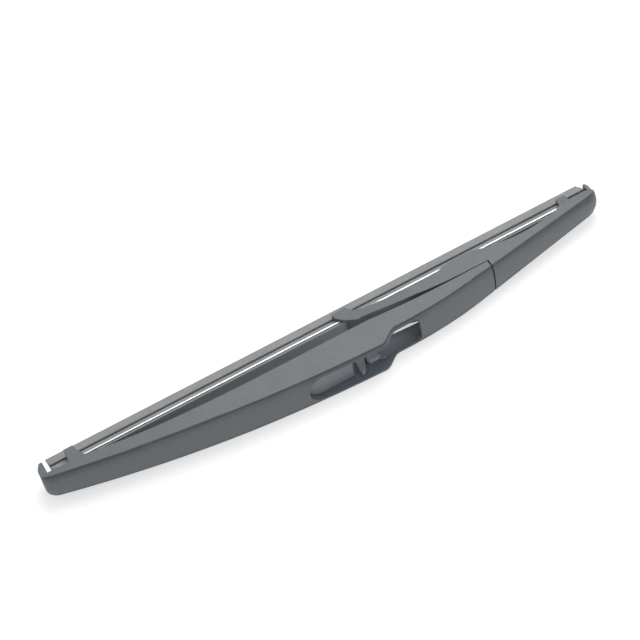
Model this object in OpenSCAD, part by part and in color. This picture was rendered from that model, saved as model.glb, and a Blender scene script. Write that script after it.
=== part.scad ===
// Rear window wiper blade with a moulded arm connection.
// The blade lies on its flat side. X runs along it, +Y points to the wiping edge and Z = 0 is
// its middle plane. The origin is the axis that the blade swings about on its arm.

/* [Blade] */
// Length of the rubber blade
rubber_len = 295; // [270:1:320]
// Middle of the rubber blade along the frame, measured from the arm axis
rubber_mid = -16.6; // [-22:0.1:-10]
// Distance from the arm axis to the wiping edge
lip_y = 31.5; // [31:0.1:34]

/* [Shell] */
// Width of the frame along its middle
frame_w = 20.4; // [19:0.1:22]
// Width of the frame at its left end
left_end_w = 16; // [15:0.1:18]
// Width of the yoke at its right end
right_end_w = 14.6; // [14:0.1:18]
// Wall of the frame and the yoke
wall = 2.3; // [1.8:0.1:2.6]
// Height of the crown across the back
dome = 1.4; // [0.6:0.1:2]
// Rounding between the side walls and the back
crease_r = 1.6; // [0.8:0.1:2.2]
// Distance from the arm axis to where the frame begins to narrow to the left
taper_left = 70; // [60:1:80]
// Distance from the arm axis to where the frame begins to narrow to the right
taper_right = 50; // [44:1:56]
// Rounding of the left end
left_round = 5; // [3:0.1:6]
// Rounding of the right end
right_round = 6; // [4:0.1:7]
// Distance from the arm axis to the highest point of the back
back_y = 8.1; // [7.6:0.1:9]
// Distance from the arm axis to the middle of the arc of the back, to the right
crown_x = 20; // [17:0.5:23]
// Distance from the arm axis to the start of the drop to the arm stretch, to the left
step_start = 2; // [1:0.1:3]
// Distance from the arm axis to where the back bends up behind the arm stretch
arm_flat = 12; // [10:0.5:14]
// Drop of the back to the stretch that the arm lies on
arm_step = 6.1; // [5:0.1:6.6]
// Length of the smooth drop
step_len = 10.5; // [9:0.5:13]
// Rise of the back from the high point to the left end
left_rise = 23.9; // [21:0.1:26]
// Rise of the back from the arm stretch to the right end
right_rise = 18.9; // [17:0.1:21]
// Bending radius of the back behind the arm stretch
right_bend_r = 240; // [180:5:260]

/* [Frame] */
// Distance from the arm axis to the middle of the frame's wall edge
edge_y = 9.4; // [9:0.1:9.8]
// Distance from the arm axis to where the wall edge begins to rise to the left claw
edge_flat = 40; // [30:1:50]
// Distance from the strips to the wall edge at the left end
left_edge_drop = 3.4; // [3:0.1:4]
// Dip of the wall edge between the arm axis and the seam
edge_dip = 1.9; // [1:0.1:2.2]
// Width of each claw along the blade
claw_w = 4.8; // [3:0.1:7]
// Distance between the outer faces of the legs of the two bent claws, at the fingers
claw_span = 11.8; // [11.4:0.1:13]
// Clearance between a claw's legs and the strips
leg_gap = 0.15; // [0.1:0.05:0.3]
// Distance of the left claw from the end of the rubber
left_inset = 9; // [7:0.1:12]
// Distance of the right claw from the end of the rubber
right_inset = 11; // [9:0.1:13]
// Height of the end walls' hooks beside the neck of the rubber
hook_rise = 2; // [1:0.1:2.6]
// Thickness of the left end wall and its hook
left_wall = 4.1; // [3:0.1:5]
// Thickness of the right end wall and its hook
right_wall = 2.2; // [2:0.1:3]
// Gap between the rubber and the left hook
left_gap = 2.1; // [1:0.1:3]
// Gap between the rubber and the right hook
right_gap = 1.2; // [0.8:0.1:2.5]

/* [Arm pocket] */
// Length of the pocket to the left of the arm axis
pocket_left = 41.8; // [38:0.1:46]
// Length of the pocket to the right of the arm axis
pocket_right = 21; // [17:0.1:25]
// Rounding of the corners at the pocket's right end
pocket_round = 2.5; // [1.5:0.1:3]
// Clearance between the clip and the pocket
clip_gap = 0.4; // [0.3:0.05:0.6]
// Depth of the clip's plate below the rim of the pocket
plate_depth = 4.9; // [4:0.1:5.4]
// Thickness of the clip's plate
plate_t = 1.8; // [1.2:0.1:2.4]
// Distance from the arm axis to the right end of the clip's plate
plate_end = 17; // [15.5:0.1:18]
// Distance from the arm axis to the rails that join the clip's plate and cheeks
rail_y = 6; // [5.6:0.1:6.2]
// Height of the rails
rail_h = 2; // [1.4:0.1:2]
// Length of the cheeks' feet under the plate
foot_len = 13; // [8:0.5:16]
// Distance from the arm axis to the left side of the horns
horn_x = 12.6; // [12:0.1:13]
// Width of the horns at their root, along the blade
horn_w = 5.2; // [4:0.1:5.6]
// Height of the horns from the rails
horn_h = 12.5; // [11:0.1:12.8]
// Length of the stop blocks along the blade
stop_len = 8; // [7.2:0.1:8.2]
// Height of the stop blocks
stop_h = 5.2; // [4:0.1:5.4]
// Thickness of the clip's cheeks
cheek_t = 1.3; // [1:0.1:1.6]
// Thickness of the clip's horns and stop blocks
horn_t = 2.8; // [2:0.1:3.4]
// Radius of the clip's pivot studs
stud_r = 1.8; // [1.4:0.1:2.2]
// Depth of the stud holes in the frame's walls
stud_depth = 1.3; // [0.9:0.1:1.5]

/* [Yoke] */
// Distance from the arm axis to the seam between the frame and the yoke
seam_x = 65.8; // [62:0.1:69]
// Gap at the seam
seam_gap = 0.8; // [0.7:0.05:1]
// Gap between the wall edges of the frame and the yoke, beside the arm axis
rock_gap = 6; // [5:0.1:6.4]
// Distance from the arm axis to where the yoke's side walls begin to draw in to the inner claw
draw_x = 26; // [20:0.5:32]
// Distance from the arm axis to the middle of the inner claw
inner_claw_x = 8.3; // [7:0.1:10]
// Width of the inner claw along the blade, at the fingers
inner_claw_w = 7.4; // [5:0.1:8]
// Distance from the strips to the edge of the yoke beside the seam
hump_drop = 3.5; // [3:0.1:4]
// Distance from the strips to the edge of the yoke's arms
lever_drop = 5.6; // [5:0.1:6]
// Distance from the strips to the edge of the yoke at its right end
right_edge_drop = 1.2; // [1:0.1:1.6]
// Depth of the long notch right of the seam
notch_depth = 3.7; // [2.5:0.1:4.2]
// Distance of the yoke's pivot from the seam
pivot_back = 7; // [6:0.1:8]
// Distance from the wiping edge to the yoke's pivot
pivot_drop = 20.4; // [19:0.1:21.5]
// Radius of the yoke's pivot studs
pivot_r = 1.7; // [1.3:0.1:2]
// Wall of the lugs round the studs
lug_wall = 1.8; // [1.4:0.1:2]
// Thickness of the lugs
lug_t = 2.2; // [1.6:0.1:2.4]
// Clearance between the lugs and the yoke's walls
lug_gap = 0.7; // [0.5:0.05:0.9]

/* [Rubber and strips] */
// Width of the lip at the wiping edge
lip_w = 0.7; // [0.5:0.05:1]
// Height of the lip beside the wiping edge
lip_h = 0.9; // [0.6:0.1:1.2]
// Height of the wiping element from its edge to the neck
wiper_h = 6; // [5.4:0.1:6.2]
// Width of the wiping element at its shoulder
shoulder_w = 5.4; // [4.6:0.1:6]
// Width of the neck
neck_w = 1.8; // [1.4:0.1:2.2]
// Height of the neck
neck_h = 1.3; // [1.1:0.05:1.6]
// Width of the head
head_w = 5.6; // [5:0.1:6]
// Height of the head below the strips
head_h = 2.7; // [2.4:0.1:3.2]
// Thickness of the flange behind the strips
lobe_h = 1.2; // [0.8:0.1:1.5]
// Width of the flange behind the strips
lobe_w = 7.8; // [6.6:0.1:8]
// Width of one spring strip
strip_w = 3; // [2.4:0.1:3.2]
// Thickness of one spring strip
strip_t = 0.9; // [0.7:0.05:1.1]
// Width of the strip that stands out of the rubber's groove
strip_proud = 1.5; // [1.2:0.1:1.6]
// Distance of the strips' ends from the ends of the rubber
strip_inset = 3; // [2:0.1:5]
// Running clearance of studs, claws and neck
fit = 0.08; // [0.05:0.01:0.1]

/* [Hidden] */
$fn = 64;

// Ends of the rubber and of the two shells
rubber_x0 = rubber_mid - rubber_len / 2;
rubber_x1 = rubber_mid + rubber_len / 2;
left_x = rubber_x0 - left_gap - left_wall;
right_x = rubber_x1 + right_gap + right_wall;

// Levels of the rubber's section, from the wiping edge to the back
shoulder_y = lip_y - wiper_h;
head_y = shoulder_y - neck_h;
strip_y = head_y - head_h;
lobe_y = strip_y - strip_t;
top_y = lobe_y - lobe_h;
web_w = head_w - 2 * (strip_w - strip_proud);

// Back of the shell. Left of the step it is one arc. Right of the step it is flat where the arm
// lies, bends up and runs straight to the right tip.
step_x = -step_start;
function arc_r(span, rise) = (span * span + rise * rise) / (2 * rise);
left_r = arc_r(crown_x - left_x, left_rise);
right_span = right_x - arm_flat;
right_slope =
    (right_span - sqrt(right_span * right_span - 2 * right_bend_r * right_rise)) / right_bend_r;
function clamp(v) = min(1, max(0, v));
function ease(t) = t * t * (3 - 2 * t);
function mix(a, b, t) = a + (b - a) * t;
function left_back(x) = left_r - back_y - sqrt(left_r * left_r - pow(x - crown_x, 2));
function right_back(x) =
    let (t = max(0, x - arm_flat), bend = min(t, right_bend_r * right_slope))
    arm_step - back_y + bend * bend / (2 * right_bend_r) + right_slope * (t - bend);
function back(x) = mix(left_back(min(x, crown_x)), right_back(x), ease(clamp((x - step_x) / step_len)));

// Half of the skin's width: drawn in toward both ends, and a little wider than the frame along
// the middle, where a flat cut at frame_w gives each side wall one plane
spare = 0.5;
left_taper = 1.4;
right_taper = 0.9;
function half_w(x) =
    let (
        t = x < 0 ? (taper_left + x) / (taper_left + left_x) : (x - taper_right) / (right_x - taper_right),
        end_w = x < 0 ? left_end_w : right_end_w
    )
    mix(frame_w + spare, end_w, pow(clamp(t), x < 0 ? left_taper : right_taper)) / 2;

// One cross-section of the shell as [y, z] points, from the lip side round the back
rounding = [0, 23, 47, 70];
crown = [-0.66, -0.33, 0, 0.33, 0.66];
function section(y, w, r, rise, open_y) =
    let (
        corner = [for (a = rounding) [y + r - r * sin(a), w - r + r * cos(a)]],
        brow = corner[len(corner) - 1],
        arch = [for (s = crown) [brow[0] - rise * (1 - s * s), brow[1] * s]]
    )
    concat(
        [[open_y, -w]], [for (p = corner) [p[0], -p[1]]], arch,
        [for (i = [len(corner) - 1 : -1 : 0]) corner[i]], [[open_y, w]]
    );

// Skin through cross-sections: each row of the table is [x, section]
module skin(rows) {
    n = len(rows[0][1]);
    m = len(rows);
    points = [for (row = rows) for (p = row[1]) [row[0], p[0], p[1]]];
    sides = [
        for (i = [0 : m - 2]) for (j = [0 : n - 1])
            let (a = i * n + j, b = i * n + (j + 1) % n)
            each [[a, b, a + n], [b, b + n, a + n]]
    ];
    caps = [[for (j = [n - 1 : -1 : 0]) j], [for (j = [0 : n - 1]) (m - 1) * n + j]];
    polyhedron(points = points, faces = concat(sides, caps), convexity = 6);
}

// Places of the cross-sections: close together round the ends and down the step
turn = [0, 20, 40, 65, 90];
step_end = step_x + step_len;
function spread(a, b, n) = [for (i = [1 : n - 1]) mix(a, b, i / n)];
function places(x0, x1, r0, r1) = concat(
    [for (a = turn) x0 + r0 * (1 - cos(a))], spread(x0 + r0, step_x, 14), [step_x],
    spread(step_x, step_end, 7), [step_end], spread(step_end, x1 - r1, 13),
    [for (i = [len(turn) - 1 : -1 : 0]) x1 - r1 * (1 - cos(turn[i]))]
);

// How far a section has moved in on the rounding of its end
function round_in(d, r) = d < r ? r - sqrt(max(0, r * r - (r - d) * (r - d))) : 0;
function pinch(x) = round_in(x - left_x, left_round) + round_in(right_x - x, right_round);
side_pinch = 0.5;
back_pinch = 0.6;

// Solid bounded by the outer face of the whole blade, frame and yoke alike
module outer_skin() {
    skin([
        for (x = places(left_x, right_x, left_round, right_round))
            let (p = pinch(x), y = back(x) + back_pinch * p, w = half_w(x) - side_pinch * p)
            [x, section(y, w, crease_r, dome, lip_y)]
    ]);
}

// Hollow of the blade, one wall inside the outer face and open to the rubber
module inner_skin() {
    r = max(wall / 5, crease_r - wall / 2);
    skin([
        for (x = places(left_x + left_wall, right_x - right_wall, overlap, overlap))
            [x, section(back(x) + wall, half_w(x) - wall - spare / 2, r, dome, lip_y + wall)]
    ]);
}

// Length by which joined bodies run into each other
overlap = 1;

// Extrusions along X, along Y and about the middle plane
module along_x(x0, x1) {
    translate([x0, 0, 0]) rotate([90, 0, 90]) linear_extrude(x1 - x0) children();
}
module along_y(y0, y1) {
    translate([0, y0, 0]) rotate([-90, 0, 0]) linear_extrude(y1 - y0) children();
}
module mid_plane(width) {
    linear_extrude(width, center = true) children();
}
module both_sides() {
    children();
    mirror([0, 0, 1]) children();
}

// Claws: left edges and finger levels
left_claw = rubber_x0 + left_inset;
inner_claw = -inner_claw_x - inner_claw_w / 2;
right_claw = rubber_x1 - right_inset - claw_w;
finger_y0 = head_y + fit;
finger_y1 = shoulder_y - fit;
left_edge_y = strip_y - left_edge_drop;
right_edge_y = strip_y - right_edge_drop;

// Edges of the side walls: the frame's, and the yoke's that follows it across the rocking gap
function frame_edge(x) =
    let (
        rise = clamp((edge_flat + x) / (edge_flat + left_claw + claw_w)),
        dip = 1 - pow(x / (0.65 * seam_x) - 1, 2)
    )
    x < -edge_flat ? mix(edge_y, left_edge_y, pow(rise, 3)) : x < 0 ? edge_y : edge_y - edge_dip * dip;
function rock(x) = mix(seam_gap / 2, rock_gap, pow(clamp((seam_x - x) / seam_x), 2.2));
function yoke_edge(x) = frame_edge(x) + rock(x);

// Pair of claws: legs that go on from the side walls, with fingers that close under the head of
// the rubber and leave its neck between them. Their side view is the child. The legs' outer
// faces are `span` apart at the fingers, so a span below the frame's width bends them inward.
leg_in = web_w / 2 + strip_w + leg_gap;
finger_tip = neck_w / 2 + 4 * fit;
module claws(x, root_y, span) {
    root = min(half_w(x), frame_w / 2) - 0.02 * wall;
    out = min(span / 2, root);
    intersection() {
        both_sides()
            along_x(x - claw_w, x + 3 * claw_w)
                polygon([
                    [root_y, root - wall], [root_y, root], [strip_y + strip_t / 2, out], [finger_y1, out],
                    [finger_y1, finger_tip], [finger_y0, finger_tip], [finger_y0, leg_in],
                    [top_y - wall / 4, leg_in], [root_y + wall / 2, root - wall],
                ]);
        mid_plane(frame_w) children();
    }
}

// Hook that stands beside the end of the rubber
module end_hook(x_in, x_out, root_y, width) {
    tip = shoulder_y + hook_rise;
    t = abs(x_out - x_in);
    x_back = x_out - 0.15 * wall * sign(x_out - x_in);
    mid_plane(width)
        polygon([
            [x_in, root_y], [x_in, tip], [mix(x_in, x_out, 0.4), tip],
            [mix(x_in, x_out, 0.7), tip - t / 2], [x_back, tip - t], [x_back, root_y],
        ]);
}

// Side view of the frame: back, seam, wall edges and left end
module frame_side() {
    x_end = seam_x - seam_gap / 2;
    x_claw = left_claw + claw_w;
    polygon(concat(
        [[left_x - overlap, -2 * back_y], [x_end, -2 * back_y]],
        [for (i = [0 : 8]) let (x = mix(x_end, 0, i / 8)) [x, frame_edge(x)]],
        [for (i = [0 : 12]) let (x = mix(-edge_flat, x_claw, i / 12)) [x, frame_edge(x)]],
        [[left_x - overlap, left_edge_y]]
    ));
}

// Side view of the claws at the left end, which flare into the wall: [share of the claw's width,
// share of the way from the wall edge to the strips]
module left_claw_side() {
    function at(s, f) = [left_claw + s * claw_w, mix(left_edge_y, strip_y, f)];
    polygon([
        at(-0.08, -0.9), at(2.05, -0.9), at(1.55, -0.05), at(1.2, 1), [left_claw + claw_w, finger_y1],
        [left_claw, finger_y1], at(0, 1),
    ]);
}

// Lugs that carry the yoke's studs inside its walls
pivot = [seam_x - pivot_back, lip_y - pivot_drop];
lug_r = pivot_r + lug_wall;
lug_z = frame_w / 2 - wall - lug_gap - lug_t;
module lugs() {
    root_y = back(pivot[0]) + 0.4 * wall;
    both_sides()
        translate([0, 0, lug_z])
            linear_extrude(lug_t)
                difference() {
                    union() {
                        translate(pivot) circle(lug_r);
                        translate([pivot[0] - lug_r, root_y]) square([2 * lug_r, pivot[1] - root_y]);
                    }
                    translate(pivot) circle(pivot_r + fit);
                }
}

// Outline of the arm pocket, seen from the back
pocket_w = frame_w - 2 * wall;
module pocket(gap) {
    r = pocket_w / 2 - gap;
    x0 = r - pocket_left + gap;
    x1 = pocket_right - gap - pocket_round;
    translate([x0, 0]) circle(r);
    translate([x0, -r]) square([x1 - x0, 2 * r]);
    translate([0, pocket_round - r]) square([pocket_right - gap, 2 * (r - pocket_round)]);
    for (z = [-1, 1]) translate([x1, z * (r - pocket_round)]) circle(pocket_round);
}

module bridge_frame() {
    color("dimgray")
    difference() {
        union() {
            difference() {
                intersection() {
                    outer_skin();
                    mid_plane(frame_w) frame_side();
                }
                inner_skin();
            }
            claws(left_claw, left_edge_y - wall, frame_w) left_claw_side();
            end_hook(left_x + left_wall, left_x, left_edge_y - overlap, left_end_w * 0.62);
            lugs();
        }
        along_y(-3 * back_y, wall) pocket(0);
        cylinder(h = frame_w - 2 * wall + 2 * stud_depth, r = stud_r + fit, center = true);
    }
}

// Side view of the yoke: rocking edge, shell, right end, and the edge that dips under the strips
hump_y = strip_y - hump_drop;
lever_y = strip_y - lever_drop;
function lever_at(s, f) = [mix(inner_claw, draw_x, s), mix(lever_y, strip_y, f)];
module yoke_side() {
    x_end = seam_x + seam_gap / 2;
    x_tip = right_x + overlap;
    notch_x0 = seam_x - 0.7 * claw_w;
    notch_x1 = right_claw - 0.85 * claw_w;
    polygon(concat(
        [[x_end, -2 * back_y], [x_tip, -2 * back_y], [x_tip, right_edge_y]],
        [[right_claw + claw_w, right_edge_y], [right_claw - claw_w / 3, right_edge_y - wall / 3]],
        [
            for (s = [-1 : 0.2 : 1])
                [mix(notch_x1, notch_x0, (s + 1) / 2), hump_y - notch_depth * (1 - s * s)]
        ],
        [[mix(seam_x, draw_x, 0.38), hump_y], [mix(seam_x, draw_x, 0.63), lever_y]],
        [lever_at(0.84, 0.05), lever_at(0.6, 0.32), lever_at(0.37, 0.61), lever_at(0.27, 0.96)],
        [lever_at(0.22, 0.96), [lever_at(0.2, 0)[0], yoke_edge(0) + wall / 2]],
        [for (i = [0 : 10]) let (x = mix(-step_start, x_end, i / 10)) [x, yoke_edge(max(0, x))]]
    ));
}

// Lever of the yoke: two arms that draw in toward the inner claw, with its fingers at their end
module inner_claw_side() {
    function at(s, f) = [inner_claw + s * inner_claw_w, mix(lever_y, strip_y, f)];
    polygon([
        [inner_claw, finger_y1], at(0.07, 1.18), at(0.49, 0.5), at(1.22, -0.14), at(1.54, -0.14),
        at(1.9, 0.61), at(1.39, 0.96), at(1.08, 1.37), [inner_claw + inner_claw_w, finger_y1],
    ]);
}
module lever() {
    out = claw_span / 2;
    x0 = inner_claw - overlap;
    x1 = inner_claw + inner_claw_w;
    x2 = draw_x + overlap;
    intersection() {
        both_sides() {
            along_y(0, lip_y)
                polygon([
                    [x2, frame_w / 2], [draw_x, frame_w / 2], [x0 + 2 * overlap, out], [x0, out],
                    [x0, leg_in], [x1 - overlap, leg_in], [draw_x, frame_w / 2 - wall],
                    [x2, frame_w / 2 - wall],
                ]);
            along_x(x0, x1 + overlap)
                translate([finger_y0, finger_tip]) square([wiper_h, out - finger_tip - 5 * fit]);
        }
        mid_plane(frame_w) {
            inner_claw_side();
            intersection() {
                yoke_side();
                translate([inner_claw, 0]) square([x2 - inner_claw, lip_y]);
            }
        }
    }
}
module right_claw_side() {
    function at(s, f) = [right_claw + s * claw_w, right_edge_y + f * wall];
    polygon([
        [right_claw, finger_y1], at(-0.12, 0.35), at(-0.4, -0.6), at(-0.4, -1.7), at(1.2, -1.7),
        at(1.08, 0), [right_claw + claw_w, finger_y1],
    ]);
}

// Cross wall that ties the yoke's two arms together
module yoke_web() {
    x_end = pivot[0] - lug_r - wall;
    x_mid = 0.35 * x_end;
    half = frame_w / 2 - wall / 2;
    claw_half = claw_span / 2 - 5 * fit;
    intersection() {
        mid_plane(frame_w)
            polygon([
                [lever_at(0.24, 0)[0], yoke_edge(0) + 0.7 * wall], [x_mid, yoke_edge(x_mid) + wall / 3],
                [x_end, lever_at(1, -0.46)[1]], [x_end, lever_at(1, -0.14)[1]], lever_at(1, -0.11),
                lever_at(0.37, 0.18), [inner_claw + inner_claw_w, top_y - wall / 3],
                [lever_at(0.13, 0)[0], top_y - wall / 2],
            ]);
        along_y(0, lip_y)
            polygon([
                [inner_claw, claw_half], [draw_x, half], [x_end + overlap, half],
                [x_end + overlap, -half], [draw_x, -half], [inner_claw, -claw_half],
            ]);
    }
}

module yoke_studs() {
    z0 = lug_z + lug_t / 8;
    both_sides()
        translate([pivot[0], pivot[1], z0]) cylinder(h = frame_w / 2 - wall / 2 - z0, r = pivot_r);
}

module yoke() {
    color("dimgray")
    union() {
        difference() {
            intersection() {
                outer_skin();
                mid_plane(frame_w)
                    intersection() {
                        yoke_side();
                        translate([draw_x, -2 * back_y]) square([right_x, 2 * lip_y]);
                    }
            }
            inner_skin();
        }
        lever();
        claws(right_claw, right_edge_y - 1.3 * wall, claw_span) right_claw_side();
        end_hook(right_x - right_wall, right_x, right_edge_y - overlap, right_end_w * 0.5);
        yoke_web();
        yoke_studs();
    }
}

// Clip that the arm snaps into: plate in the pocket, and two cheeks with pivot studs, horns and
// stop blocks
clip_w = pocket_w - 2 * clip_gap;
plate_y = plate_depth - back_y;
boss_r = 1.4 * stud_r;
module clip_cheek() {
    foot_y = plate_y + 0.7 * plate_t;
    base_y = rail_y + rail_h;
    polygon([
        [-plate_end - foot_len, foot_y], [-plate_end - 0.7 * foot_len, base_y], [0.4 * boss_r, base_y],
        [boss_r, 0.8 * boss_r], [boss_r, 0], [-boss_r, 0], [horn_w - horn_x, rail_y],
        [-plate_end + 0.3 * rail_h, rail_y], [-plate_end, foot_y],
    ]);
    circle(boss_r);
}

// Side view of a horn, placed by shares of its width and its height
module clip_horn() {
    function at(s, f) = [s * horn_w - horn_x, rail_y + rail_h / 2 - f * horn_h];
    polygon([
        at(0, 0), at(-0.23, 0.74), at(-0.15, 0.95), at(-0.02, 1), at(0.23, 0.9), at(0.58, 0.62),
        at(0.85, 0.36), at(1, 0),
    ]);
}

// Stop block between the horn and the arm axis, with a rounded hollow in its left corner
module clip_stop() {
    difference() {
        translate([-stop_len, -stop_h / 4]) square([0.95 * stop_len, stop_h]);
        translate([-stop_len, -stop_h / 4]) circle(0.15 * stop_h);
    }
}

module arm_clip() {
    color("gray")
    union() {
        intersection() {
            along_y(plate_y, plate_y + plate_t) pocket(clip_gap);
            translate([-pocket_left, -back_y, -frame_w])
                cube([pocket_left - plate_end, 3 * back_y, 2 * frame_w]);
        }
        both_sides() {
            translate([0, 0, clip_w / 2 - cheek_t]) linear_extrude(cheek_t) clip_cheek();
            translate([0, 0, clip_w / 2 - horn_t]) linear_extrude(horn_t) {
                clip_horn();
                clip_stop();
            }
            translate([0, 0, clip_w / 2 - cheek_t])
                cylinder(h = cheek_t + clip_gap + stud_depth - 2 * fit, r = stud_r);
        }
    }
}

// Section of the rubber: lip, shoulder, neck, head, grooves for the strips and upper lobe
rubber_half = [
    [lip_y, lip_w / 2], [lip_y - lip_h, 0.65 * lip_w], [shoulder_y + lip_h, shoulder_w / 2],
    [shoulder_y, shoulder_w / 2], [shoulder_y, neck_w / 2],
    [head_y, neck_w / 2], [head_y, head_w / 2], [strip_y, head_w / 2], [strip_y, web_w / 2],
    [lobe_y, web_w / 2], [lobe_y, lobe_w / 2], [top_y + lobe_h / 4, lobe_w / 2],
    [top_y, lobe_w / 2 - lobe_h / 4],
];

module rubber_blade() {
    color("black")
    along_x(rubber_x0, rubber_x1)
        polygon(concat(
            rubber_half,
            [for (i = [len(rubber_half) - 1 : -1 : 0]) [rubber_half[i][0], -rubber_half[i][1]]]
        ));
}

module spring_strip() {
    along_x(rubber_x0 + strip_inset, rubber_x1 - strip_inset)
        translate([lobe_y, web_w / 2]) square([strip_t, strip_w]);
}

module spring_strip_upper() {
    color("silver") spring_strip();
}

module spring_strip_lower() {
    color("silver") mirror([0, 0, 1]) spring_strip();
}

bridge_frame();
yoke();
arm_clip();
rubber_blade();
spring_strip_upper();
spring_strip_lower();
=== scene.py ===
"""Rear window wiper blade, lying on its flat side on a pale studio floor.

The moulded frame, the rocking yoke and the arm clip keep the shapes of the construction model and
are dressed here. The rubber and its two spring strips are modelled afresh, with rounded edges, and
are cut across into short stations.
"""

import logging
import math
from dataclasses import dataclass, field
from enum import Enum

import bmesh
import bpy
from mathutils import Matrix, Vector


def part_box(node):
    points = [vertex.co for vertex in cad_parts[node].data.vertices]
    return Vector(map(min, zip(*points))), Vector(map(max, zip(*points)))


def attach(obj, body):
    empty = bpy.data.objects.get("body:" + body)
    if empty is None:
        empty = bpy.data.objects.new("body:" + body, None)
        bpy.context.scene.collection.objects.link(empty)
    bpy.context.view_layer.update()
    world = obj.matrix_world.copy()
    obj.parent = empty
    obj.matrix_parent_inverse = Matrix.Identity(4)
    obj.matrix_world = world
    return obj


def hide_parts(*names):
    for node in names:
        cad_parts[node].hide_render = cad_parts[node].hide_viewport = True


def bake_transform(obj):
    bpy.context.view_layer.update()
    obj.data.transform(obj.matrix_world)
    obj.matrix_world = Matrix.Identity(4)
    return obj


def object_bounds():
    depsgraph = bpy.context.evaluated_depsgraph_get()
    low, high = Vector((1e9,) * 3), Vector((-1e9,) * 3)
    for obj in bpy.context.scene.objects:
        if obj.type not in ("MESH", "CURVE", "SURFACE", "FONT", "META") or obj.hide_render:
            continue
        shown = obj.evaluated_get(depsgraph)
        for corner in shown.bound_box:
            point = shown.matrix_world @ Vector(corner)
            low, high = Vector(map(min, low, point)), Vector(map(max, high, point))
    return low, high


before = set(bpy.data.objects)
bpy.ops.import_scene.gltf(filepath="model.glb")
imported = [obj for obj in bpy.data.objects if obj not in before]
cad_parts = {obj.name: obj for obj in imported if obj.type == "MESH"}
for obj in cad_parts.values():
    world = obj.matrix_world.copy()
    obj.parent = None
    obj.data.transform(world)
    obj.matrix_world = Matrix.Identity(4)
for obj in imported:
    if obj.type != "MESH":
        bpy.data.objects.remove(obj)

LOG = logging.getLogger("wiper_blade")
MM = 0.001
WHITE = (1.0, 1.0, 1.0, 1.0)
BEVEL_SAMPLES = 4
ROUND_ANGLE = 40.0
CAD_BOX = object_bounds()


class Body(Enum):
    """The bodies that move on their own."""

    FRAME = "frame"
    YOKE = "yoke"
    CLIP = "clip"


class Slot(Enum):
    """The record's finishes."""

    FRAME_PLASTIC = "frame_plastic"
    CLIP_PLASTIC = "clip_plastic"
    BLADE_RUBBER = "blade_rubber"
    STRIP_STEEL = "strip_steel"


class Axis(Enum):
    """The axes that a band of colour may lie across."""

    X = "X"
    Y = "Y"


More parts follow.
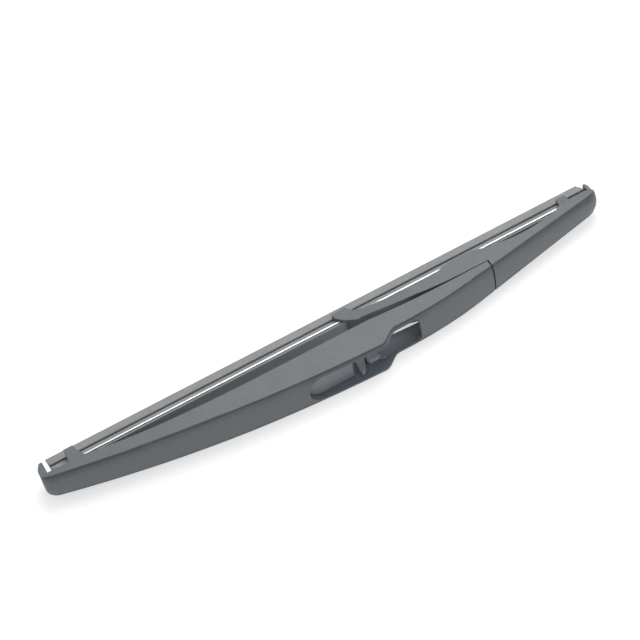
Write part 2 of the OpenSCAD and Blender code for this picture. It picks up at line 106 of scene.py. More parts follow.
class Graph:
    """A node tree that is being wired."""

    def __init__(self, tree: bpy.types.NodeTree) -> None:
        """Keeps the tree.

        Args:
            tree: the material's, the world's or a group's node tree.
        """
        self.tree = tree

    def add(self, kind: str, **settings: object) -> bpy.types.Node:
        """Adds a node.

        Args:
            kind: the node's type name.
            settings: the node's own properties, by name.

        Returns:
            The new node.
        """
        node = self.tree.nodes.new(kind)
        for name, value in settings.items():
            setattr(node, name, value)
        return node

    def wire(self, source: bpy.types.NodeSocket, target: bpy.types.NodeSocket) -> None:
        """Joins an output to an input."""
        self.tree.links.new(source, target)

    def feed(self, target: bpy.types.NodeSocket, value: object) -> None:
        """Gives an input a socket's value, or a plain number, colour or vector.

        Args:
            target: the input.
            value: an output socket, or what the input shall hold.
        """
        if isinstance(value, bpy.types.NodeSocket):
            self.wire(value, target)
        else:
            target.default_value = value

    def math(self, operation: str, *values: object, clamp: bool = False) -> bpy.types.NodeSocket:
        """Adds a Math node.

        Args:
            operation: the node's operation.
            values: its inputs, sockets or numbers.
            clamp: whether the result is kept between 0 and 1.

        Returns:
            The result socket.
        """
        node = self.add("ShaderNodeMath", operation=operation, use_clamp=clamp)
        for socket, value in zip(node.inputs, values):
            self.feed(socket, value)
        return node.outputs[0]

    def sum_of(
        self, first: tuple[bpy.types.NodeSocket, float], second: tuple[bpy.types.NodeSocket, float]
    ) -> bpy.types.NodeSocket:
        """Adds shares of two values.

        Args:
            first: a value and its share.
            second: a value and its share.

        Returns:
            The sum.
        """
        return self.math("ADD", self.math("MULTIPLY", *first), self.math("MULTIPLY", *second))

    def remap(
        self, value: bpy.types.NodeSocket, low: float, high: float,
        out_low: float = 0.0, out_high: float = 1.0,
    ) -> bpy.types.NodeSocket:
        """Maps low..high onto out_low..out_high, clamped.

        Args:
            value: the socket to map.
            low: the value that becomes out_low.
            high: the value that becomes out_high.
            out_low: the result at low.
            out_high: the result at high.

        Returns:
            The mapped socket.
        """
        node = self.add("ShaderNodeMapRange", clamp=True)
        names = ("From Min", "From Max", "To Min", "To Max")
        for name, number in zip(names, (low, high, out_low, out_high)):
            node.inputs[name].default_value = number
        self.wire(value, node.inputs["Value"])
        return node.outputs["Result"]

    def noise(
        self, vector: bpy.types.NodeSocket, scale: object, detail: float, roughness: float = 0.5
    ) -> bpy.types.NodeSocket:
        """Adds a noise texture.

        Args:
            vector: where the noise is read.
            scale: its frequency, a number or a socket.
            detail: its octaves.
            roughness: how much the finer octaves count.

        Returns:
            The noise value, around 0.5.
        """
        node = self.add("ShaderNodeTexNoise")
        self.wire(vector, node.inputs["Vector"])
        self.feed(node.inputs["Scale"], scale)
        node.inputs["Detail"].default_value = detail
        node.inputs["Roughness"].default_value = roughness
        return node.outputs[0]

    def stretch(
        self, vector: bpy.types.NodeSocket, scale: tuple[float, float, float]
    ) -> bpy.types.NodeSocket:
        """Scales a coordinate, axis by axis.

        Args:
            vector: the coordinate.
            scale: the factor on each axis.

        Returns:
            The stretched coordinate.
        """
        node = self.add("ShaderNodeMapping")
        node.inputs["Scale"].default_value = scale
        self.wire(vector, node.inputs["Vector"])
        return node.outputs["Vector"]

    def normal(self) -> dict[str, bpy.types.NodeSocket]:
        """Splits the surface's normal.

        Returns:
            The sockets of its X, Y and Z.
        """
        return self.split(self.add("ShaderNodeNewGeometry").outputs["Normal"])

    def split(self, vector: bpy.types.NodeSocket) -> dict[str, bpy.types.NodeSocket]:
        """Splits a vector.

        Args:
            vector: the vector's socket.

        Returns:
            The sockets of its X, Y and Z.
        """
        node = self.add("ShaderNodeSeparateXYZ")
        self.wire(vector, node.inputs[0])
        return {name: node.outputs[name] for name in ("X", "Y", "Z")}

    def effect(
        self, group: bpy.types.NodeTree, place: bpy.types.NodeSocket | None, **values: float
    ) -> bpy.types.Node:
        """Places a shared effect.

        Args:
            group: the effect's node group.
            place: the object coordinate, or None for a group that doesn't read it.
            values: the group's own values, by input.

        Returns:
            The group's node.
        """
        node = self.add("ShaderNodeGroup", node_tree=group)
        for name, value in values.items():
            node.inputs[name].default_value = value
        if place is not None:
            self.wire(place, node.inputs["Vector"])
        return node

    def blend_colour(self, factor: object, first: object, second: object) -> bpy.types.NodeSocket:
        """Mixes two colours.

        Args:
            factor: how much of the second one shows.
            first: a colour or a socket.
            second: a colour or a socket.

        Returns:
            The mixed colour.
        """
        node = self.add("ShaderNodeMix", data_type="RGBA", clamp_factor=True)
        self.feed(node.inputs[0], factor)
        self.feed(node.inputs[6], first)
        self.feed(node.inputs[7], second)
        return node.outputs[2]


class Effects:
    """The node groups that the finishes use, each built once."""

    # Grain: the finer and coarser pits, then the clouds and speckles of tone.
    FINE_SHARE = 0.7
    COARSE_SHARE = 0.3
    COARSE_RATIO = 0.22
    SPECKLE_RATIO = 0.36
    CLOUD_SHARE = 0.55
    SPECKLE_SHARE = 0.45
    TONE_SPAN = (0.34, 0.66)
    # Rubbed edges: how far the rounded normal turns off the plain one, and gaps in the wear.
    TURN_SPAN = (0.02, 0.22)
    BREAKUP_SPAN = (0.38, 0.62)
    LEAST_WEAR = 0.25
    # Dust: where it settles, its film and its specks.
    UP_SPAN = (0.1, 0.9)
    SIDE_DUST = 0.15
    FILM_SCALE = 120.0
    FILM_SPAN = (0.35, 0.75)
    FILM_SHARE = 0.6
    SPECK_SCALE = 1900.0
    SPECK_SPAN = (0.66, 0.74)
    SPECK_SHARE = 0.5
    # Parts of the normal: a crease lies between the back and the side, where shade is painted, and
    # inner faces look inwards, where light is painted.
    CREASE_OUTER = (0.2, 0.4)
    CREASE_INNER = (0.92, 0.99)
    CREASE_BEHIND = (-0.5, -0.3)
    INWARD_SPAN = (-0.6, -0.3)

    def __init__(self) -> None:
        """Builds every group."""
        self.grain = self._grain()
        self.wear = self._wear()
        self.dust = self._dust()
        self.crease = self._crease()
        self.inside = self._inside()

    @staticmethod
    def _group(
        name: str, inputs: dict[str, tuple[str, object]], outputs: tuple[str, ...]
    ) -> Graph:
        """Starts a shader node group.

        Args:
            name: the group's name.
            inputs: for each input its socket type and default, None for a vector.
            outputs: the names of the value outputs.

        Returns:
            The graph of the new group, with its two ends as nodes "in" and "out".
        """
        tree = bpy.data.node_groups.new(name, "ShaderNodeTree")
        for label, (kind, default) in inputs.items():
            socket = tree.interface.new_socket(name=label, in_out="INPUT", socket_type=kind)
            if default is not None:
                socket.default_value = default
        for label in outputs:
            tree.interface.new_socket(name=label, in_out="OUTPUT", socket_type="NodeSocketFloat")
        graph = Graph(tree)
        graph.add("NodeGroupInput", name="in")
        graph.add("NodeGroupOutput", name="out")
        return graph

    def _grain(self) -> bpy.types.NodeTree:
        """Builds the fine grain of a surface and its slow change of tone.

        Returns:
            The group: Vector, Grain and Cloud frequencies in, Height and Tone out.
        """
        graph = self._group(
            "surface_grain",
            {
                "Vector": ("NodeSocketVector", None),
                "Grain": ("NodeSocketFloat", 4200.0),
                "Cloud": ("NodeSocketFloat", 70.0),
            },
            ("Height", "Tone"),
        )
        start, end = graph.tree.nodes["in"], graph.tree.nodes["out"]
        place, grain = start.outputs["Vector"], start.outputs["Grain"]
        fine = graph.noise(place, grain, detail=3.0, roughness=0.6)
        coarse_scale = graph.math("MULTIPLY", grain, self.COARSE_RATIO)
        coarse = graph.noise(place, coarse_scale, detail=2.0)
        height = graph.sum_of((fine, self.FINE_SHARE), (coarse, self.COARSE_SHARE))
        cloud = graph.noise(place, start.outputs["Cloud"], detail=5.0, roughness=0.62)
        speckle_scale = graph.math("MULTIPLY", grain, self.SPECKLE_RATIO)
        speckle = graph.noise(place, speckle_scale, detail=2.0)
        mottle = graph.sum_of((cloud, self.CLOUD_SHARE), (speckle, self.SPECKLE_SHARE))
        graph.wire(height, end.inputs["Height"])
        graph.wire(graph.remap(mottle, *self.TONE_SPAN), end.inputs["Tone"])
        return graph.tree

    def _wear(self) -> bpy.types.NodeTree:
        """Builds the mask of rubbed edges.

        Returns:
            The group: Vector, Radius and Breakup in, Mask out.
        """
        graph = self._group(
            "edge_wear",
            {
                "Vector": ("NodeSocketVector", None),
                "Radius": ("NodeSocketFloat", 0.0005),
                "Breakup": ("NodeSocketFloat", 260.0),
            },
            ("Mask",),
        )
        start, end = graph.tree.nodes["in"], graph.tree.nodes["out"]
        rounded = graph.add("ShaderNodeBevel", samples=BEVEL_SAMPLES)
        graph.wire(start.outputs["Radius"], rounded.inputs["Radius"])
        plain = graph.add("ShaderNodeNewGeometry")
        dot = graph.add("ShaderNodeVectorMath", operation="DOT_PRODUCT")
        graph.wire(rounded.outputs["Normal"], dot.inputs[0])
        graph.wire(plain.outputs["Normal"], dot.inputs[1])
        turned = graph.math("SUBTRACT", 1.0, dot.outputs["Value"])
        edge = graph.remap(turned, *self.TURN_SPAN)
        breakup = graph.noise(
            start.outputs["Vector"], start.outputs["Breakup"], detail=4.0, roughness=0.65
        )
        patches = graph.remap(breakup, *self.BREAKUP_SPAN, self.LEAST_WEAR)
        graph.wire(graph.math("MULTIPLY", edge, patches, clamp=True), end.inputs["Mask"])
        return graph.tree

    def _dust(self) -> bpy.types.NodeTree:
        """Builds the mask of dust that lies on faces that look up.

        Returns:
            The group: Vector and Amount in, Mask out.
        """
        graph = self._group(
            "settled_dust",
            {"Vector": ("NodeSocketVector", None), "Amount": ("NodeSocketFloat", 0.2)},
            ("Mask",),
        )
        start, end = graph.tree.nodes["in"], graph.tree.nodes["out"]
        place = start.outputs["Vector"]
        up = graph.remap(graph.normal()["Z"], *self.UP_SPAN, self.SIDE_DUST)
        patchy = graph.noise(place, self.FILM_SCALE, detail=6.0, roughness=0.7)
        film = graph.remap(patchy, *self.FILM_SPAN)
        dotted = graph.noise(place, self.SPECK_SCALE, detail=2.0)
        specks = graph.remap(dotted, *self.SPECK_SPAN)
        both = graph.sum_of((film, self.FILM_SHARE), (specks, self.SPECK_SHARE))
        lying = graph.math("MULTIPLY", both, up)
        mask = graph.math("MULTIPLY", lying, start.outputs["Amount"], clamp=True)
        graph.wire(mask, end.inputs["Mask"])
        return graph.tree

    def _crease(self) -> bpy.types.NodeTree:
        """Builds the mask of the painted shade along the line where a shell's side wall turns into
        its back.

        Returns:
            The group: Mask out.
        """
        graph = self._group("painted_crease_shade", {}, ("Mask",))
        facing = graph.normal()
        level = graph.math("ABSOLUTE", facing["Z"])
        outer = graph.remap(level, *self.CREASE_OUTER)
        inner = graph.remap(level, *self.CREASE_INNER, 1.0, 0.0)
        behind = graph.remap(facing["Y"], *self.CREASE_BEHIND, 1.0, 0.0)
        line = graph.math("MULTIPLY", graph.math("MULTIPLY", outer, inner), behind, clamp=True)
        graph.wire(line, graph.tree.nodes["out"].inputs["Mask"])
        return graph.tree

    def _inside(self) -> bpy.types.NodeTree:
        """Builds the mask of the faces inside a shell, which look towards its middle plane and get
        painted light.

        Returns:
            The group: Vector in, Mask out.
        """
        graph = self._group("inner_faces", {"Vector": ("NodeSocketVector", None)}, ("Mask",))
        start, end = graph.tree.nodes["in"], graph.tree.nodes["out"]
        side = graph.math("SIGN", graph.split(start.outputs["Vector"])["Z"])
        outwards = graph.math("MULTIPLY", graph.normal()["Z"], side)
        graph.wire(graph.remap(outwards, *self.INWARD_SPAN, 1.0, 0.0), end.inputs["Mask"])
        return graph.tree


@dataclass(frozen=True)
class Band:
    """A stretch of a surface, along one axis, with painted light or painted shade in its colour.
    Sizes in mm.
    """

    axis: Axis
    first: float
    last: float
    soft: float
    colour: tuple[float, float, float]
    share: float = 1.0

    def over(
        self, graph: Graph, place: bpy.types.NodeSocket, colour: bpy.types.NodeSocket
    ) -> bpy.types.NodeSocket:
        """Lays the band over a colour.

        Args:
            graph: the material's graph.
            place: the object coordinate.
            colour: the colour so far.

        Returns:
            The colour with the band.
        """
        reading = graph.split(place)[self.axis.value]
        first, last, soft = self.first * MM, self.last * MM, self.soft * MM
        into = graph.remap(reading, first, first + soft, 0.0, self.share)
        out_of = graph.remap(reading, last - soft, last, 1.0, 0.0)
        return graph.blend_colour(graph.math("MULTIPLY", into, out_of), colour, (*self.colour, 1.0))


@dataclass(frozen=True)
class Moulding:
    """A moulded plastic or rubber surface: its colour, grain, rubbed edges and dust, with painted
    light and shade on inner faces, along a crease and in bands.

    Lengths are in metres and frequencies per metre. A tint is a factor on the colour.
    """

    name: str
    colour: tuple[float, float, float]
    cloud_tone: float
    roughness: float
    grain_scale: float
    grain_depth: float
    edge_radius: float
    edge_lift: float
    dust: float
    # Painted shade along the crease between the side wall and the back: how strong it is.
    crease_shade: float = 0.0
    # Bands of painted light or shade.
    bands: tuple[Band, ...] = ()
    # Painted light on the faces inside a shell, which lie in shade: its colour and how much of it
    # shows.
    inner_painted_light: tuple[float, float, float] | None = None
    inner_light_share: float = 0.85
    pit_span: tuple[float, float] = (0.35, 0.6)
    pit_share: float = 0.35
    pit_tint: float = 0.72
    edge_tint: float = 2.1
    # The colour factor of the painted crease shade.
    crease_tint: float = 0.3
    dust_colour: tuple[float, float, float] = (0.42, 0.41, 0.4)
    dust_roughness: float = 0.3
    tone_roughness: tuple[float, float] = (-0.05, 0.06)
    edge_polish: float = 0.12
    bump_strength: float = 0.5

    def _tint(self, factor: float) -> tuple[float, float, float, float]:
        """Returns the base colour times a factor."""
        return (self.colour[0] * factor, self.colour[1] * factor, self.colour[2] * factor, 1.0)

    def _colour(
        self, graph: Graph, effects: Effects, place: bpy.types.NodeSocket, grain: bpy.types.Node,
        worn: bpy.types.NodeSocket,
    ) -> bpy.types.NodeSocket:
        """Lays the moulding's changes of colour over each other, all but the dust: its tone, pits
        and rubbed edges, and painted light and shade on inner faces, along the crease and in bands.

        Args:
            graph: the material's graph.
            effects: the shared node groups.
            place: the object coordinate.
            grain: the node of the grain effect.
            worn: the mask of rubbed edges.

        Returns:
            The colour.
        """
        dark, pale = self._tint(1.0 - self.cloud_tone), self._tint(1.0 + self.cloud_tone)
        colour = graph.blend_colour(grain.outputs["Tone"], dark, pale)
        # Painted light: the inner faces, which lie in shade, are made paler and bluer.
        if self.inner_painted_light:
            inside = graph.effect(effects.inside, place).outputs["Mask"]
            share = graph.math("MULTIPLY", inside, self.inner_light_share)
            colour = graph.blend_colour(share, colour, (*self.inner_painted_light, 1.0))
        pits = graph.remap(grain.outputs["Height"], *self.pit_span, self.pit_share, 0.0)
        colour = graph.blend_colour(pits, colour, self._tint(self.pit_tint))
        rubbed = graph.math("MULTIPLY", worn, self.edge_lift)
        colour = graph.blend_colour(rubbed, colour, self._tint(self.edge_tint))
        # Painted shade: the crease between the side wall and the back is darkened.
        if self.crease_shade:
            crease = graph.effect(effects.crease, None).outputs["Mask"]
            shade = graph.math("MULTIPLY", crease, self.crease_shade)
            colour = graph.blend_colour(shade, colour, self._tint(self.crease_tint))
        # Bands of painted light or shade over stretches of the surface.
        for band in self.bands:
            colour = band.over(graph, place, colour)
        return colour

    def material(self, effects: Effects) -> bpy.types.Material:
        """Builds the material.

        Args:
            effects: the shared node groups.

        Returns:
            The new material.
        """
        made = bpy.data.materials.new(self.name)
        made.use_nodes = True
        graph = Graph(made.node_tree)
        shader = graph.tree.nodes["Principled BSDF"]
        place = graph.add("ShaderNodeTexCoord").outputs["Object"]
        grain = graph.effect(effects.grain, place, Grain=self.grain_scale)
        worn = graph.effect(effects.wear, place, Radius=self.edge_radius).outputs["Mask"]
        dust = graph.effect(effects.dust, place, Amount=self.dust).outputs["Mask"]
        colour = self._colour(graph, effects, place, grain, worn)
        dusted = graph.blend_colour(dust, colour, (*self.dust_colour, 1.0))
        graph.wire(dusted, shader.inputs["Base Color"])
        change = graph.remap(grain.outputs["Tone"], 0.0, 1.0, *self.tone_roughness)
        rough = graph.math("ADD", change, self.roughness)
        polished = graph.math("SUBTRACT", rough, graph.math("MULTIPLY", worn, self.edge_polish))
        dulled = graph.math("MULTIPLY", dust, self.dust_roughness)
        graph.wire(graph.math("ADD", polished, dulled, clamp=True), shader.inputs["Roughness"])
        rounded = graph.add("ShaderNodeBevel", samples=BEVEL_SAMPLES)
        rounded.inputs["Radius"].default_value = self.edge_radius
        bump = graph.add("ShaderNodeBump")
        bump.inputs["Strength"].default_value = self.bump_strength
        bump.inputs["Distance"].default_value = self.grain_depth
        graph.wire(rounded.outputs["Normal"], bump.inputs["Normal"])
        graph.wire(grain.outputs["Height"], bump.inputs["Height"])
        graph.wire(bump.outputs["Normal"], shader.inputs["Normal"])
        return made


@dataclass(frozen=True)
class RolledSteel:
    """Bright spring strip, with the fine lines of the rolls along it.

    Lengths are in metres and frequencies per metre.
    """

    name: str
    colour: tuple[float, float, float]
    roughness: float
    line_stretch: tuple[float, float, float] = (30.0, 5200.0, 5200.0)
    line_span: tuple[float, float] = (0.3, 0.7)
    line_roughness: tuple[float, float] = (-0.08, 0.1)
    line_depth: float = 0.00001
    stain_scale: float = 150.0
    stain_span: tuple[float, float] = (0.45, 0.75)
    stain_share: float = 0.35
    stain_colour: tuple[float, float, float] = (0.38, 0.36, 0.33)
    stain_roughness: float = 0.5
    edge_radius: float = 0.0002
    edge_colour: tuple[float, float, float] = (0.82, 0.82, 0.83)
    bump_strength: float = 0.35

    def material(self, effects: Effects) -> bpy.types.Material:
        """Builds the material.

        Args:
            effects: the shared node groups.

        Returns:
            The new material.
        """
        made = bpy.data.materials.new(self.name)
        made.use_nodes = True
        graph = Graph(made.node_tree)
        shader = graph.tree.nodes["Principled BSDF"]
        place = graph.add("ShaderNodeTexCoord").outputs["Object"]
        along = graph.stretch(place, self.line_stretch)
        lines = graph.noise(along, 1.0, detail=3.0, roughness=0.6)
        stains = graph.noise(place, self.stain_scale, detail=5.0, roughness=0.65)
        worn = graph.effect(effects.wear, place, Radius=self.edge_radius).outputs["Mask"]
        dull = graph.remap(stains, *self.stain_span, 0.0, self.stain_share)
        base = graph.blend_colour(dull, (*self.colour, 1.0), (*self.stain_colour, 1.0))
        bright = graph.blend_colour(worn, base, (*self.edge_colour, 1.0))
        graph.wire(bright, shader.inputs["Base Color"])
        least, most = (self.roughness + change for change in self.line_roughness)
        lined = graph.remap(lines, *self.line_span, least, most)
        stained = graph.math("MULTIPLY", dull, self.stain_roughness)
        graph.wire(graph.math("ADD", lined, stained), shader.inputs["Roughness"])
        bump = graph.add("ShaderNodeBump")
        bump.inputs["Strength"].default_value = self.bump_strength
        bump.inputs["Distance"].default_value = self.line_depth
        graph.wire(lines, bump.inputs["Height"])
        graph.wire(bump.outputs["Normal"], shader.inputs["Normal"])
        shader.inputs["Metallic"].default_value = 1.0
        return made


def piece(
    name: str, shape: bmesh.types.BMesh, finish: bpy.types.Material
) -> bpy.types.Object:
    """Turns a finished shape, in metres and in place, into an object.

    Args:
        name: the object's name.
        shape: the shape, which is freed.
        finish: its material.

    Returns:
        The new object.
    """
    mesh = bpy.data.meshes.new(name)
    shape.to_mesh(mesh)
    shape.free()
    mesh.materials.append(finish)
    made = bpy.data.objects.new(name, mesh)
    bpy.context.scene.collection.objects.link(made)
    return made


def round_edges(
    shape: bmesh.types.BMesh, edges: list[bmesh.types.BMEdge], radius: float, segments: int
) -> None:
    """Rounds edges.

    Args:
        shape: the mesh.
        edges: the edges.
        radius: how far the rounding reaches from them, in mm.
        segments: how many faces it has across.
    """
    bmesh.ops.bevel(
        shape, geom=edges, offset=radius * MM, affect="EDGES", segments=segments, profile=0.5,
        material=-1,
    )


def cut_stations(shape: bmesh.types.BMesh, places: list[float]) -> None:
    """Cuts a long mesh across, so that it can bend.

    Args:
        shape: the mesh.
        places: where it is cut along X, in metres.
    """
    for x in places:
        bmesh.ops.bisect_plane(
            shape, geom=shape.verts[:] + shape.edges[:] + shape.faces[:],
            plane_co=(x, 0.0, 0.0), plane_no=(1.0, 0.0, 0.0),
        )


def smooth_over(made: bpy.types.Object, angle: float) -> None:
    """Shades a mesh smooth, with a crease where faces turn by more than an angle.

    Args:
        made: the object.
        angle: the least turn of a crease, in degrees.
    """
    shape = bmesh.new()
    shape.from_mesh(made.data)
    for face in shape.faces:
        face.smooth = True
    for edge in shape.edges:
        edge.smooth = len(edge.link_faces) == 2 and edge.calc_face_angle(0.0) < math.radians(angle)
    shape.to_mesh(made.data)
    shape.free()


@dataclass
class RubberBlade:
    """The one-piece rubber: lip, shoulder, neck and grooved head. Sizes in mm."""

    start: float = -163.8
    end: float = 130.9
    station: float = 3.0
    half_section: tuple[tuple[float, float], ...] = (
        (31.5, 0.35), (30.6, 0.455), (26.4, 2.7), (25.5, 2.7), (25.5, 0.9), (24.2, 0.9),
        (24.2, 2.8), (21.5, 2.8), (21.5, 1.3), (20.6, 1.3), (20.6, 3.9), (19.7, 3.9), (19.4, 3.6),
    )
    corner: float = 0.14
    corner_segments: int = 2
    least_long_edge: float = 10.0
    neck_y: float = 24.8
    square_y: float = 28.2
    end_slants: tuple[float, float] = (-0.1, -0.2)
    bend_start: tuple[float, float, float] = (-112.0, 25.0, 0.0)
    bend_end: tuple[float, float, float] = (-14.0, 25.0, 0.0)

    def _profile(self, shape: bmesh.types.BMesh) -> list[bmesh.types.BMFace]:
        """Draws the whole section at the left end.

        Args:
            shape: the mesh that gets it.

        Returns:
            The one face.
        """
        outline = list(self.half_section) + [(y, -z) for y, z in reversed(self.half_section)]
        corners = [shape.verts.new((self.start * MM, y * MM, z * MM)) for y, z in outline]
        return [shape.faces.new(corners)]

    def _slant_ends(self, shape: bmesh.types.BMesh) -> None:
        """Cuts the ends a little out of square, above the neck.

        Args:
            shape: the mesh, with no stations yet.
        """
        for x, slant in zip((self.start, self.end), self.end_slants):
            for corner in shape.verts:
                if abs(corner.co.x - x * MM) < MM:
                    out = max(corner.co.y, self.neck_y * MM) - self.square_y * MM
                    corner.co.x += slant * out

    def build(self, finish: bpy.types.Material) -> bpy.types.Object:
        """Extrudes the section, rounds its long edges and cuts it into stations.

        Args:
            finish: the rubber's material.

        Returns:
            The rubber.
        """
        shape = bmesh.new()
        grown = bmesh.ops.extrude_face_region(shape, geom=self._profile(shape))
        far = [v for v in grown["geom"] if isinstance(v, bmesh.types.BMVert)]
        bmesh.ops.translate(shape, verts=far, vec=((self.end - self.start) * MM, 0.0, 0.0))
        bmesh.ops.recalc_face_normals(shape, faces=shape.faces)
        least = self.least_long_edge * MM
        long_edges = [e for e in shape.edges if abs(e.verts[0].co.x - e.verts[1].co.x) > least]
        round_edges(shape, long_edges, self.corner, self.corner_segments)
        self._slant_ends(shape)
        length = self.end - self.start
        count = round(length / self.station)
        cut_stations(shape, [(self.start + length * n / count) * MM for n in range(1, count)])
        made = piece("rubber_profile", shape, finish)
        smooth_over(made, ROUND_ANGLE)
        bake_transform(made)
        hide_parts("rubber_blade")
        return made


@dataclass
class SpringStrip:
    """One of the two flat strips in the head's grooves. Sizes in mm."""

    node: str
    name: str
    edge: float = 0.22
    edge_segments: int = 3
    station: float = RubberBlade.station
    bend_start: tuple[float, float, float] = RubberBlade.bend_start
    bend_end: tuple[float, float, float] = RubberBlade.bend_end

    def build(self, finish: bpy.types.Material) -> bpy.types.Object:
        """Makes the strip where the construction model has it, with rolled edges.

        Args:
            finish: the steel's material.

        Returns:
            The strip.
        """
        low, high = (Vector(corner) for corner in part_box(self.node))
        size, middle = high - low, (low + high) / 2
        shape = bmesh.new()
        place = Matrix.Translation(middle) @ Matrix.Diagonal((*size, 1.0))
        bmesh.ops.create_cube(shape, size=1.0, matrix=place)
        round_edges(shape, shape.edges[:], self.edge, self.edge_segments)
        count = round(size.x / (self.station * MM))
        cut_stations(shape, [low.x + size.x * n / count for n in range(1, count)])
        made = piece(self.name, shape, finish)
        smooth_over(made, ROUND_ANGLE)
        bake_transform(made)
        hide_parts(self.node)
        return made


@dataclass
class Moulded:
    """A moulded part that keeps the construction model's shape. Sizes in mm."""

    node: str
    name: str
    body: Body
    slot: Slot
    slivers: tuple[tuple[float, float, float], ...] = ()
    weld: float = 0.001
    melt: float = 0.3
    crease_angle: float = 26.0

    def _melt_slivers(self, shape: bmesh.types.BMesh) -> None:
        """Draws the points of each sliver that stands out of the skin into one point on it.

        Args:
            shape: the mesh that is mended.
        """
        reach = self.melt * MM
        for x, y, z in self.slivers:
            for side in (1.0, -1.0):
                place = Vector((x, y, z * side)) * MM
                near = [corner for corner in shape.verts if (corner.co - place).length < reach]
                bmesh.ops.pointmerge(shape, verts=near, merge_co=place)

    def build(self, finish: bpy.types.Material) -> bpy.types.Object:
        """Copies the node as one closed skin and shades its roundings smooth.

        Args:
            finish: the plastic's material.

        Returns:
            The moulded part.
        """
        shape = bmesh.new()
        shape.from_mesh(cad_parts[self.node].data)
        bmesh.ops.remove_doubles(shape, verts=shape.verts, dist=self.weld * MM)
        self._melt_slivers(shape)
        bmesh.ops.dissolve_degenerate(shape, edges=shape.edges, dist=self.weld * MM)
        made = piece(self.name, shape, finish)
        smooth_over(made, self.crease_angle)
        weights = made.modifiers.new("even_normals", "WEIGHTED_NORMAL")
        weights.keep_sharp = True
        weights.weight = 100
        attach(made, self.body.value)
        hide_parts(self.node)
        return made


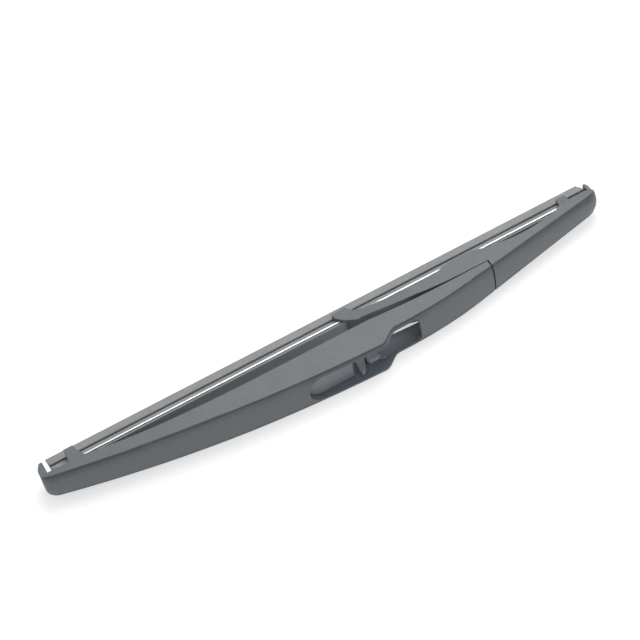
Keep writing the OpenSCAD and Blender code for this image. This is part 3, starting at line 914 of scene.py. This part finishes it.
@dataclass
class Studio:
    """The floor, the lamps, the world and the camera.

    The lens, its sensor and the eye are in mm, as they were fitted, and all else is in metres.
    """

    floor_z: float
    lens: float = 112.5
    sensor: float = 36.0
    clip: tuple[float, float] = (0.01, 50.0)
    eye: tuple[float, float, float] = (-209.8307, -552.8397, 746.6969)
    right: tuple[float, float, float] = (0.8704281, -0.47117527, -0.14264916)
    down: tuple[float, float, float] = (-0.44983877, -0.64351874, -0.61929695)
    ahead: tuple[float, float, float] = (0.2, 0.60322259, -0.7720897)
    key_at: tuple[float, float, float] = (0.32, 0.35, 1.1)
    key_power: float = 8.6
    lamp_size: float = 0.7
    fill_at: tuple[float, float, float] = (0.6, -0.75, 0.6)
    fill_power: float = 1.6
    ambient: float = 0.51
    floor_glow: float = 0.57
    far_glow: float = 0.75
    glow_rise: tuple[float, float] = (0.25, 1.2)
    floor_shade: float = 0.55
    floor_gap: float = 0.00005
    floor_reach: float = 6.0

    def camera(self) -> None:
        """Puts the camera where the photograph was taken from."""
        lens = bpy.data.cameras.new("camera")
        lens.lens = self.lens
        lens.sensor_width = self.sensor
        lens.clip_start, lens.clip_end = self.clip
        holder = bpy.data.objects.new("camera", lens)
        columns = (Vector(self.right), -Vector(self.down), -Vector(self.ahead))
        turn = Matrix(columns).transposed().to_4x4()
        holder.matrix_world = Matrix.Translation(Vector(self.eye) * MM) @ turn
        bpy.context.scene.collection.objects.link(holder)
        bpy.context.scene.camera = holder

    def _lamp(self, name: str, place: tuple[float, float, float], power: float) -> None:
        """Hangs a soft square lamp that looks at the object.

        Args:
            name: its name.
            place: where it hangs.
            power: its power in watts.
        """
        light = bpy.data.lights.new(name, "AREA")
        light.energy = power
        light.size = self.lamp_size
        holder = bpy.data.objects.new(name, light)
        holder.location = place
        holder.rotation_euler = (-Vector(place)).to_track_quat("-Z", "Y").to_euler()
        bpy.context.scene.collection.objects.link(holder)

    def lamps(self) -> None:
        """Hangs the key lamp above and beyond the blade, and a weak one in front at the right."""
        self._lamp("key", self.key_at, self.key_power)
        self._lamp("fill", self.fill_at, self.fill_power)

    @staticmethod
    def _seen(graph: Graph) -> bpy.types.NodeSocket:
        """Marks rays from the camera, and those by gloss or glass.

        Args:
            graph: the material's or the world's graph.

        Returns:
            One for such rays.
        """
        rays = graph.add("ShaderNodeLightPath").outputs
        gloss = graph.math("MAXIMUM", rays["Is Glossy Ray"], rays["Is Transmission Ray"])
        return graph.math("MAXIMUM", rays["Is Camera Ray"], gloss)

    def world(self) -> None:
        """Lights the room evenly, white where it is seen."""
        world = bpy.data.worlds.new("studio")
        bpy.context.scene.world = world
        world.use_nodes = True
        graph = Graph(world.node_tree)
        glow = graph.tree.nodes["Background"]
        glow.inputs["Color"].default_value = WHITE
        strength = graph.remap(self._seen(graph), 0.0, 1.0, self.ambient, 1.0)
        graph.wire(strength, glow.inputs["Strength"])

    def _floor_paint(self) -> bpy.types.Material:
        """Makes the floor's paint: white where it is seen lit, clear when seen from below.

        Returns:
            The new material.
        """
        paint = bpy.data.materials.new("floor_paint")
        paint.use_nodes = True
        graph = Graph(paint.node_tree)
        nodes = graph.tree.nodes
        nodes.remove(nodes["Principled BSDF"])
        seen = self._seen(graph)
        matte = graph.add("ShaderNodeBsdfDiffuse")
        shaded = (self.floor_shade, self.floor_shade, self.floor_shade, 1.0)
        graph.wire(graph.blend_colour(seen, WHITE, shaded), matte.inputs["Color"])
        glow = graph.add("ShaderNodeEmission")
        reach = graph.add("ShaderNodeVectorMath", operation="LENGTH")
        graph.wire(graph.add("ShaderNodeTexCoord").outputs["Object"], reach.inputs[0])
        level = graph.remap(
            reach.outputs["Value"], *self.glow_rise, self.floor_glow, self.far_glow
        )
        graph.wire(graph.math("MULTIPLY", seen, level), glow.inputs["Strength"])
        both = graph.add("ShaderNodeAddShader")
        graph.wire(matte.outputs[0], both.inputs[0])
        graph.wire(glow.outputs[0], both.inputs[1])
        either = graph.add("ShaderNodeMixShader")
        graph.wire(graph.add("ShaderNodeNewGeometry").outputs["Backfacing"], either.inputs[0])
        graph.wire(both.outputs[0], either.inputs[1])
        graph.wire(graph.add("ShaderNodeBsdfTransparent").outputs[0], either.inputs[2])
        graph.wire(either.outputs[0], nodes["Material Output"].inputs["Surface"])
        return paint

    def floor(self) -> None:
        """Lays the pale floor a hair under the blade."""
        height = self.floor_z - self.floor_gap
        shape = bmesh.new()
        bmesh.ops.create_grid(shape, x_segments=1, y_segments=1, size=self.floor_reach)
        bmesh.ops.translate(shape, verts=shape.verts, vec=(0.0, 0.0, height))
        mesh = bpy.data.meshes.new("floor")
        shape.to_mesh(mesh)
        shape.free()
        mesh.materials.append(self._floor_paint())
        made = bpy.data.objects.new("floor", mesh)
        bpy.context.scene.collection.objects.link(made)

    def set_up(self) -> None:
        """Sets up all of it."""
        bpy.context.scene.view_settings.view_transform = "Standard"
        self.camera()
        self.lamps()
        self.world()
        self.floor()


@dataclass
class WiperBlade:
    """The whole blade: its parts and their finishes."""

    plastic: Moulding = Moulding(
        name="moulded_frame_plastic", colour=(0.115, 0.129, 0.142), cloud_tone=0.06,
        roughness=0.5, grain_scale=4200.0, grain_depth=0.00003, edge_radius=0.0003,
        # Painted shade along the crease, and painted light on the shell's inner faces.
        edge_lift=0.15, dust=0.12, crease_shade=0.95, inner_painted_light=(0.158, 0.184, 0.216),
    )
    clip_plastic: Moulding = Moulding(
        name="moulded_clip_plastic", colour=(0.19, 0.205, 0.225), cloud_tone=0.05,
        roughness=0.42, grain_scale=5200.0, grain_depth=0.00002, edge_radius=0.0003,
        edge_lift=0.4, dust=0.1,
        # Painted light: the clip is paler from x -15.8 to -1.2 mm, over its horn and stop, which
        # lie in shade.
        bands=(Band(Axis.X, -15.8, -1.2, 1.5, (0.3325, 0.35875, 0.39375), 0.8),),
    )
    rubber: Moulding = Moulding(
        name="bloomed_rubber", colour=(0.25, 0.26, 0.264), cloud_tone=0.2,
        roughness=0.62, grain_scale=3200.0, grain_depth=0.00003, edge_radius=0.0002,
        edge_lift=0.35, dust=0.2,
        bands=(
            # Painted light: the flange's back face, in shade inside the frame, is made paler and
            # bluer.
            Band(Axis.Y, 19.0, 19.6, 0.1, (0.29, 0.325, 0.35)),
            # Painted shade: a dark line at the seam between the spring strips and the rubber's
            # flange.
            Band(Axis.Y, 20.2, 20.65, 0.04, (0.06, 0.065, 0.07), 0.9),
        ),
    )
    steel: RolledSteel = RolledSteel("rolled_spring_steel", (0.62, 0.63, 0.64), 0.28)
    moulded: list[Moulded] = field(default_factory=lambda: [
        Moulded(
            "bridge_frame", "bridge_frame_shell", Body.FRAME, Slot.FRAME_PLASTIC,
            slivers=((-169.76, 17.25, 4.93),),
        ),
        Moulded(
            "yoke", "yoke_shell", Body.YOKE, Slot.FRAME_PLASTIC,
            slivers=((120.72, 17.31, 7.76),),
        ),
        Moulded("arm_clip", "arm_clip_moulding", Body.CLIP, Slot.CLIP_PLASTIC),
    ])
    rubber_part: RubberBlade = field(default_factory=RubberBlade)
    strips: list[SpringStrip] = field(default_factory=lambda: [
        SpringStrip("spring_strip_upper", "spring_strip_top"),
        SpringStrip("spring_strip_lower", "spring_strip_bottom"),
    ])

    def build(self) -> list[bpy.types.Object]:
        """Builds and dresses every part.

        Returns:
            The objects.
        """
        effects = Effects()
        plastic = self.plastic.material(effects)
        clip = self.clip_plastic.material(effects)
        finishes = {Slot.FRAME_PLASTIC: plastic, Slot.CLIP_PLASTIC: clip}
        made = [part.build(finishes[part.slot]) for part in self.moulded]
        made.append(self.rubber_part.build(self.rubber.material(effects)))
        steel = self.steel.material(effects)
        made.extend(strip.build(steel) for strip in self.strips)
        return made


def main() -> None:
    """Builds the studio and the blade, and reports each piece."""
    logging.basicConfig(level=logging.INFO, format="%(name)s: %(message)s")
    Studio(floor_z=CAD_BOX[0][2]).set_up()
    for made in WiperBlade().build():
        LOG.info("%s: %d faces", made.name, len(made.data.polygons))


if __name__ == "__main__":
    main()
